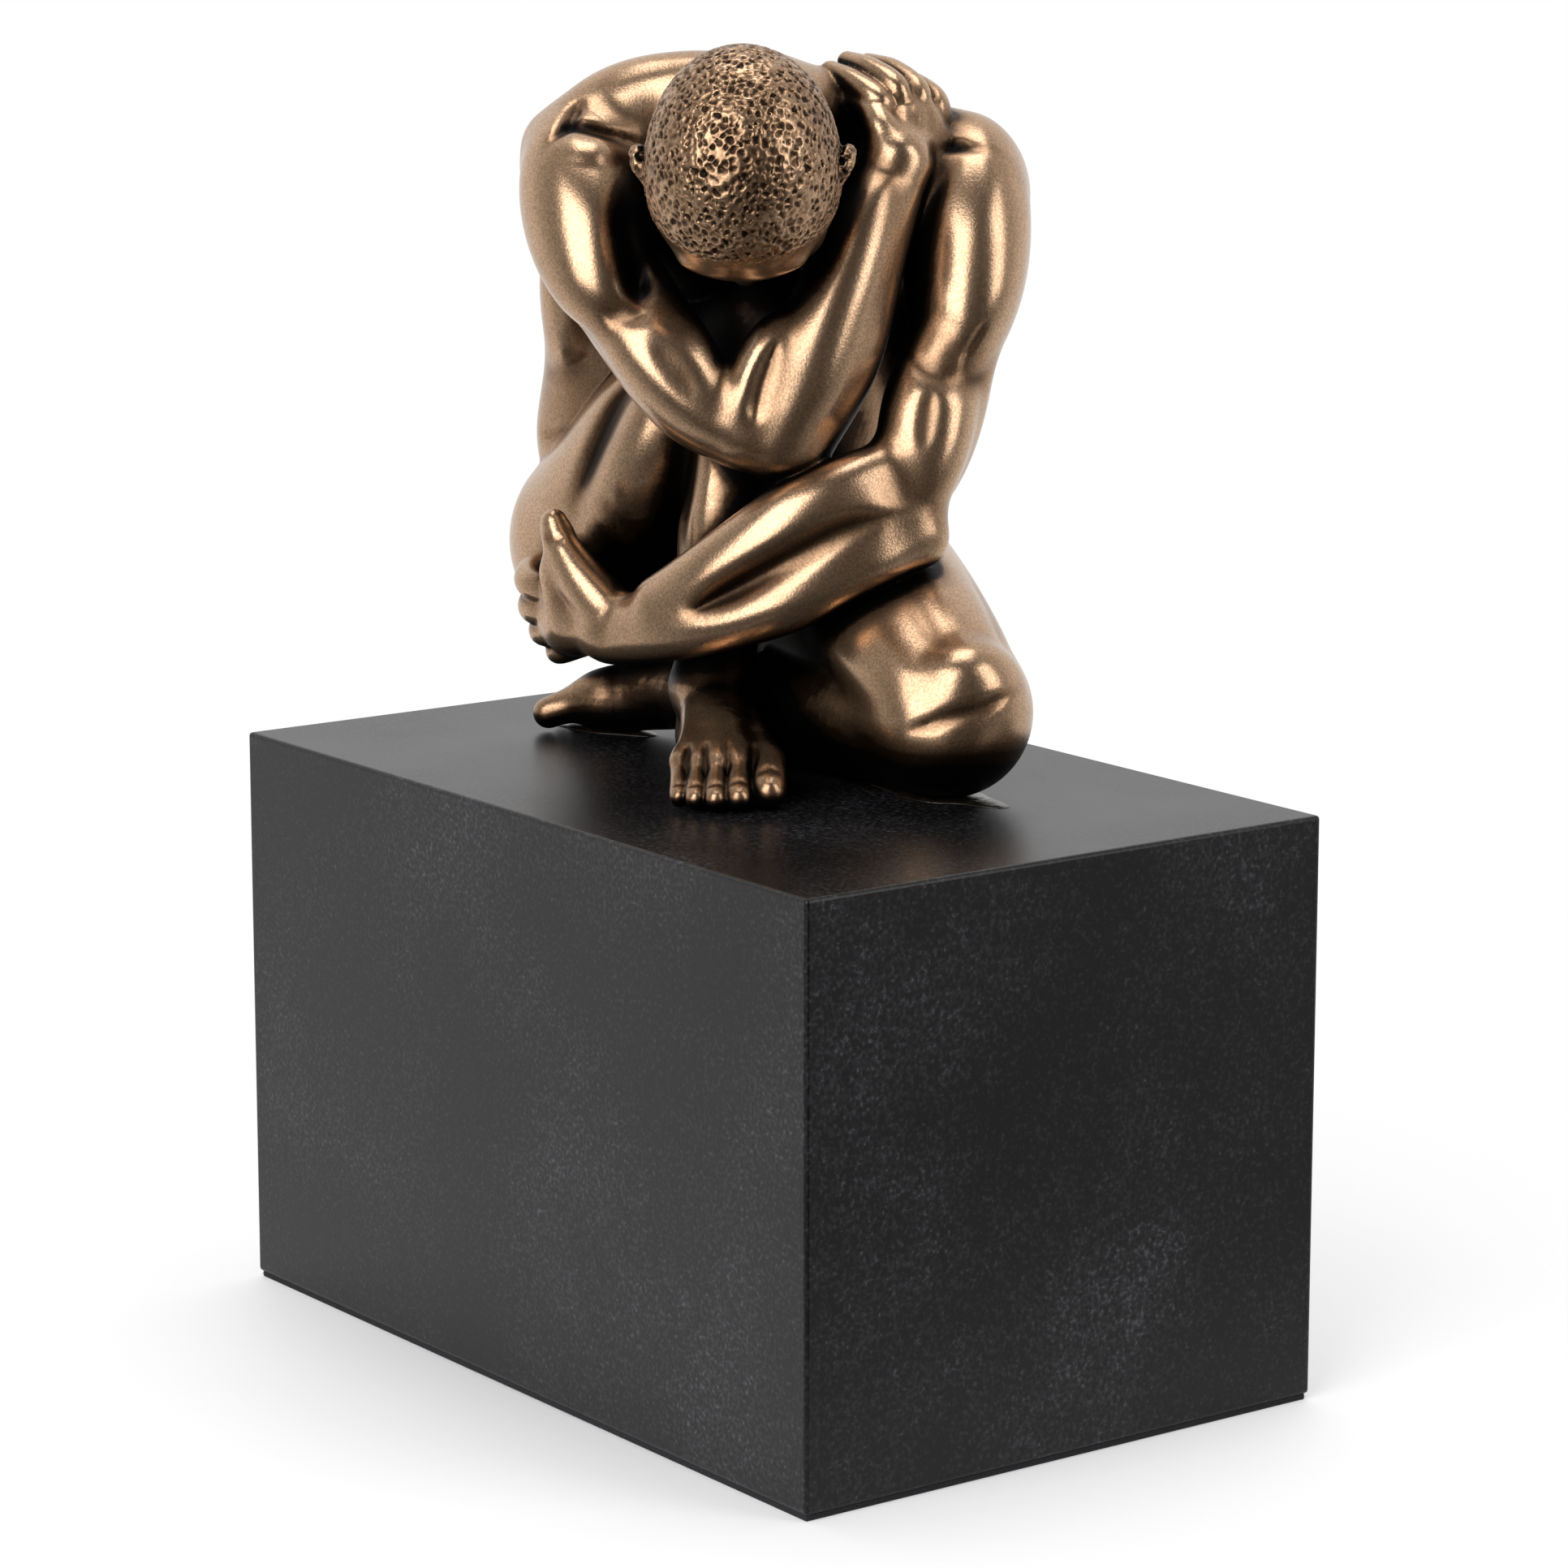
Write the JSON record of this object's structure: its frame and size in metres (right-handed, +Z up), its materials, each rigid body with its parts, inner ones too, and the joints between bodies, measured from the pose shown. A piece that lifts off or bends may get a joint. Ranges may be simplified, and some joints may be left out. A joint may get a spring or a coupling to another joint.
{
  "type": "crouching figure statue",
  "caption": "Crouching nude figure of cold-cast bronze with bowed head, one knee raised and one arm round it, on a black rectangular stone plinth with felt under it.",
  "frame": {"origin": "centre of the overall box, on the underside of the felt", "axes": "+Z up, X along the long side of the plinth, Y along its short side"},
  "size_m": [0.15, 0.095, 0.2032],
  "materials": {
    "bronze": "satin, patinated dark in the recesses",
    "black_stone": "satin, fine light specks",
    "felt": "matt felt",
    "adhesive": "cured epoxy",
    "steel": "zinc plated"
  },
  "bodies": {
    "root": {"plinth": "black_stone", "felt_pad": "felt", "torso_casting": "bronze", "head_casting": "bronze", "right_arm_casting": "bronze", "left_arm_casting": "bronze", "right_leg_casting": "bronze", "left_leg_casting": "bronze", "right_foot_casting": "bronze", "left_foot_casting": "bronze", "right_foot_adhesive": "adhesive", "left_knee_adhesive": "adhesive", "left_foot_adhesive": "adhesive", "fixing_studs": "steel", "fixing_washers": "steel", "fixing_nuts": "steel", "neck_dowel": "steel", "right_shoulder_dowel": "steel", "left_shoulder_dowel": "steel", "right_hip_dowel": "steel", "left_hip_dowel": "steel", "right_ankle_dowel": "steel", "left_ankle_dowel": "steel"}
  },
  "joints": []
}
